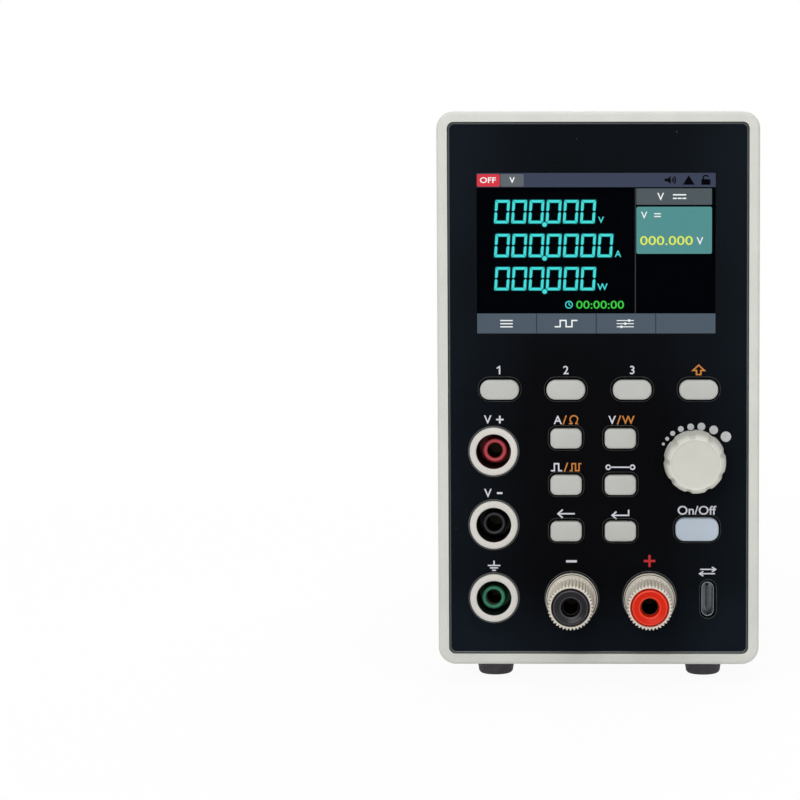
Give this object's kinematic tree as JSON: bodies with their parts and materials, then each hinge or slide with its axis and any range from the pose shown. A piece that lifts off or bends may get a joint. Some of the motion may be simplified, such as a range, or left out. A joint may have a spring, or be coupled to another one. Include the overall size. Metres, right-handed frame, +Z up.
{
  "type": "dc electronic load",
  "caption": "Slim upright bench electronic load: front screen, keys, turning knob, safety sockets and screw binding posts; fan, mains inlet and rocker switch at the rear.",
  "frame": {"origin": "on the surface that the feet stand on, under the middle of the whole instrument's box", "axes": "+Z up, -Y towards the user (the front panel faces -Y), +X to the user's right"},
  "size_m": [0.082, 0.2252, 0.1462],
  "materials": {
    "bezel_plastic": "moulded light grey, fine grain",
    "panel_black": "gloss black-blue",
    "lens_clear": "clear",
    "cover_paint": "light grey textured paint",
    "tray_steel": "zinc-plated sheet",
    "rear_paint": "light grey textured paint",
    "screw_steel": "plated",
    "foot_rubber": "dark grey rubber",
    "board_green": "solder mask",
    "lcd_black": "display module",
    "mat_silicone": "silicone",
    "encoder_metal": "nickel-plated",
    "plunger_plastic": "moulded",
    "knob_cream": "soft cream white",
    "usb_steel": "stainless",
    "key_grey": "light grey",
    "key_blue_white": "bluish white",
    "collar_white": "off-white",
    "core_red": "red",
    "core_black": "black",
    "core_green": "green",
    "contact_brass": "plated brass",
    "nut_steel": "nickel-plated",
    "post_cream": "cream white",
    "insert_black": "black",
    "insert_red": "red",
    "fan_black": "black",
    "guard_steel": "plated steel",
    "inlet_black": "black",
    "pin_metal": "nickel-plated brass",
    "fuse_glass": "glass tube with metal caps",
    "rocker_black": "black",
    "sink_aluminium": "extruded",
    "transistor_black": "epoxy",
    "shunt_alloy": "resistance alloy",
    "capacitor_blue": "sleeved",
    "relay_blue": "moulded",
    "transformer_core": "laminated core with a bobbin",
    "ribbon_grey": "flexible",
    "cable_red": "flexible insulation"
  },
  "bodies": {
    "case": {"front_bezel": "bezel_plastic", "rear_bezel": "bezel_plastic", "front_panel": "panel_black", "display_lens": "lens_clear", "cover": "cover_paint", "chassis_tray": "tray_steel", "rear_panel": "rear_paint", "screws": "screw_steel", "rubber_feet": "foot_rubber", "control_board": "board_green", "power_board": "board_green", "lcd_module": "lcd_black", "keypad_mat": "mat_silicone", "encoder_body": "encoder_metal", "usb_receptacle": "usb_steel", "jack_collars": "collar_white", "sense_plus_core": "core_red", "sense_minus_core": "core_black", "earth_core": "core_green", "jack_contacts": "contact_brass", "post_studs": "contact_brass", "panel_nuts": "nut_steel", "post_bases": "post_cream", "fan_frame": "fan_black", "fan_guard": "guard_steel", "mains_inlet": "inlet_black", "power_switch_body": "inlet_black", "inlet_pins": "pin_metal", "heatsink": "sink_aluminium", "power_transistors": "transistor_black", "shunt_resistors": "shunt_alloy", "capacitors": "capacitor_blue", "relay": "relay_blue", "aux_transformer": "transformer_core", "ribbon_cable": "ribbon_grey", "load_cables": "cable_red"},
    "soft_key_left": {"soft_key_left": "key_grey"},
    "soft_key_middle": {"soft_key_middle": "key_grey"},
    "soft_key_right": {"soft_key_right": "key_grey"},
    "shift_key": {"shift_key": "key_grey"},
    "current_key": {"current_key": "key_grey"},
    "voltage_key": {"voltage_key": "key_grey"},
    "pulse_key": {"pulse_key": "key_grey"},
    "short_key": {"short_key": "key_grey"},
    "back_key": {"back_key": "key_grey"},
    "enter_key": {"enter_key": "key_grey"},
    "output_key": {"output_key": "key_blue_white"},
    "encoder_push": {"encoder_plunger": "plunger_plastic"},
    "knob_turn": {"knob": "knob_cream", "encoder_shaft": "encoder_metal"},
    "minus_clamp": {"minus_clamp_washer": "nut_steel"},
    "minus_knob": {"minus_sleeve": "post_cream", "minus_insert": "insert_black"},
    "plus_clamp": {"plus_clamp_washer": "nut_steel"},
    "plus_knob": {"plus_sleeve": "post_cream", "plus_insert": "insert_red"},
    "fan": {"fan_rotor": "fan_black"},
    "rocker": {"power_rocker": "rocker_black"},
    "drawer": {"fuse_drawer": "inlet_black", "fuse": "fuse_glass"}
  },
  "joints": [
    {"name": "soft_key_left_press", "type": "slide", "parent": "case", "child": "soft_key_left", "axis": [0, 1, 0], "range_m": [0, 0.0008], "stiffness_N_per_m": 300},
    {"name": "soft_key_middle_press", "type": "slide", "parent": "case", "child": "soft_key_middle", "axis": [0, 1, 0], "range_m": [0, 0.0008], "stiffness_N_per_m": 300},
    {"name": "soft_key_right_press", "type": "slide", "parent": "case", "child": "soft_key_right", "axis": [0, 1, 0], "range_m": [0, 0.0008], "stiffness_N_per_m": 300},
    {"name": "shift_key_press", "type": "slide", "parent": "case", "child": "shift_key", "axis": [0, 1, 0], "range_m": [0, 0.0008], "stiffness_N_per_m": 300},
    {"name": "current_key_press", "type": "slide", "parent": "case", "child": "current_key", "axis": [0, 1, 0], "range_m": [0, 0.0008], "stiffness_N_per_m": 300},
    {"name": "voltage_key_press", "type": "slide", "parent": "case", "child": "voltage_key", "axis": [0, 1, 0], "range_m": [0, 0.0008], "stiffness_N_per_m": 300},
    {"name": "pulse_key_press", "type": "slide", "parent": "case", "child": "pulse_key", "axis": [0, 1, 0], "range_m": [0, 0.0008], "stiffness_N_per_m": 300},
    {"name": "short_key_press", "type": "slide", "parent": "case", "child": "short_key", "axis": [0, 1, 0], "range_m": [0, 0.0008], "stiffness_N_per_m": 300},
    {"name": "back_key_press", "type": "slide", "parent": "case", "child": "back_key", "axis": [0, 1, 0], "range_m": [0, 0.0008], "stiffness_N_per_m": 300},
    {"name": "enter_key_press", "type": "slide", "parent": "case", "child": "enter_key", "axis": [0, 1, 0], "range_m": [0, 0.0008], "stiffness_N_per_m": 300},
    {"name": "output_key_press", "type": "slide", "parent": "case", "child": "output_key", "axis": [0, 1, 0], "range_m": [0, 0.0008], "stiffness_N_per_m": 300},
    {"name": "knob_push", "type": "slide", "parent": "case", "child": "encoder_push", "axis": [0, 1, 0], "range_m": [0, 0.0005], "stiffness_N_per_m": 800},
    {"name": "knob_spin", "type": "hinge", "parent": "encoder_push", "child": "knob_turn", "pos_m": [0.02455, -0.0956, 0.05745], "axis": [0, 1, 0], "continuous": true},
    {"name": "minus_travel", "type": "slide", "parent": "case", "child": "minus_clamp", "axis": [0, -1, 0], "range_m": [0, 0.004]},
    {"name": "minus_unscrew", "type": "hinge", "parent": "minus_clamp", "child": "minus_knob", "pos_m": [-0.00682, -0.0956, 0.022], "axis": [0, -1, 0], "range_deg": [0, 1440]},
    {"name": "plus_travel", "type": "slide", "parent": "case", "child": "plus_clamp", "axis": [0, -1, 0], "range_m": [0, 0.004]},
    {"name": "plus_unscrew", "type": "hinge", "parent": "plus_clamp", "child": "plus_knob", "pos_m": [0.01304, -0.0956, 0.022], "axis": [0, -1, 0], "range_deg": [0, 1440]},
    {"name": "fan_spin", "type": "hinge", "parent": "case", "child": "fan", "pos_m": [0, 0.1088, 0.1056], "axis": [0, 1, 0], "continuous": true},
    {"name": "rocker_tilt", "type": "hinge", "parent": "case", "child": "rocker", "pos_m": [0.022, 0.1094, 0.0356], "axis": [1, 0, 0], "range_deg": [0, 24]},
    {"name": "drawer_pull", "type": "slide", "parent": "case", "child": "drawer", "axis": [0, 1, 0], "range_m": [0, 0.015]}
  ],
  "couplings": [
    {"joint": "minus_unscrew", "follows": "minus_travel", "rad_per_m": 6283.2},
    {"joint": "plus_unscrew", "follows": "plus_travel", "rad_per_m": 6283.2}
  ]
}
